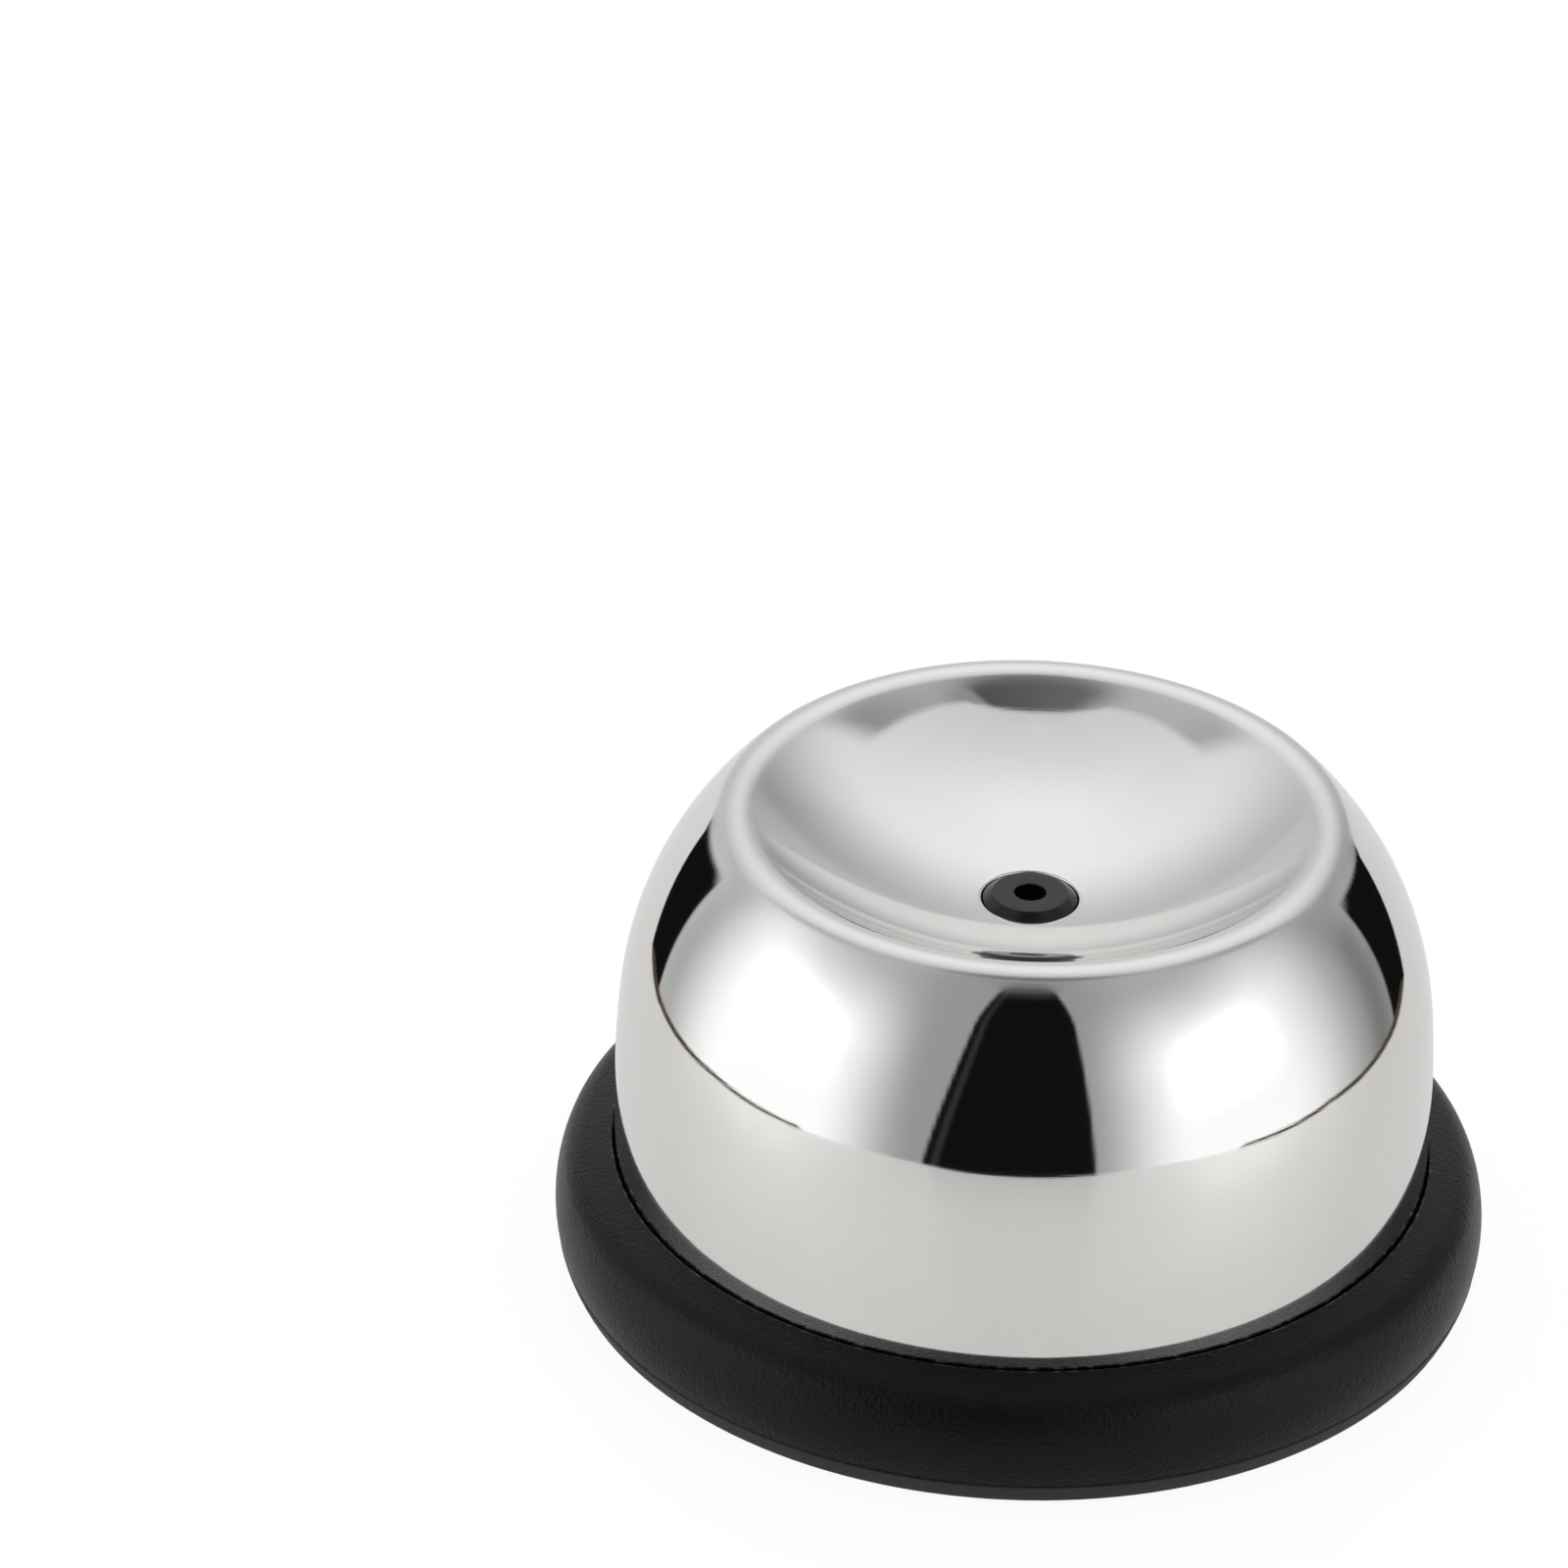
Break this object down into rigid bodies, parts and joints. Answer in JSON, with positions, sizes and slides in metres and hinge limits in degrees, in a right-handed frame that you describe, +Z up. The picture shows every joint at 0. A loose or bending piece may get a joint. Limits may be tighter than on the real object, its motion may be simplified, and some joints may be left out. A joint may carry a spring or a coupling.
{
  "type": "egg piercer",
  "caption": "Push-down egg piercer: a polished steel bell with a dished top slides over a fixed needle in a round black base with a rubber ring, and a spring lifts it back.",
  "frame": {"origin": "centre of the underside, on the axis of the bell, at the height of the table", "axes": "+Z up along the axis of bell and needle; the part is round, so X and Y are free"},
  "size_m": [0.065, 0.065, 0.0351],
  "materials": {
    "polished_steel": "mirror-polished stainless steel",
    "black_plastic": "satin",
    "black_rubber": "matte",
    "inner_plastic": "matte",
    "base_plastic": "fine grain",
    "pad_rubber": "matte",
    "spring_steel": "drawn wire",
    "brass": "turned",
    "needle_steel": "ground",
    "screw_steel": "zinc plated"
  },
  "bodies": {
    "base": {"base_body": "base_plastic", "base_ring": "black_rubber", "retaining_ring": "inner_plastic", "non_slip_pad": "pad_rubber", "return_spring": "spring_steel", "needle_holder": "brass", "needle": "needle_steel", "holder_screw": "screw_steel"},
    "bell": {"steel_bell": "polished_steel", "needle_guide": "black_plastic"}
  },
  "joints": [
    {"name": "bell_press", "type": "slide", "parent": "base", "child": "bell", "axis": [0, 0, -1], "range_m": [0, 0.0035], "stiffness_N_per_m": 1500, "springref_m": -0.004, "deforming": ["return_spring"]}
  ]
}
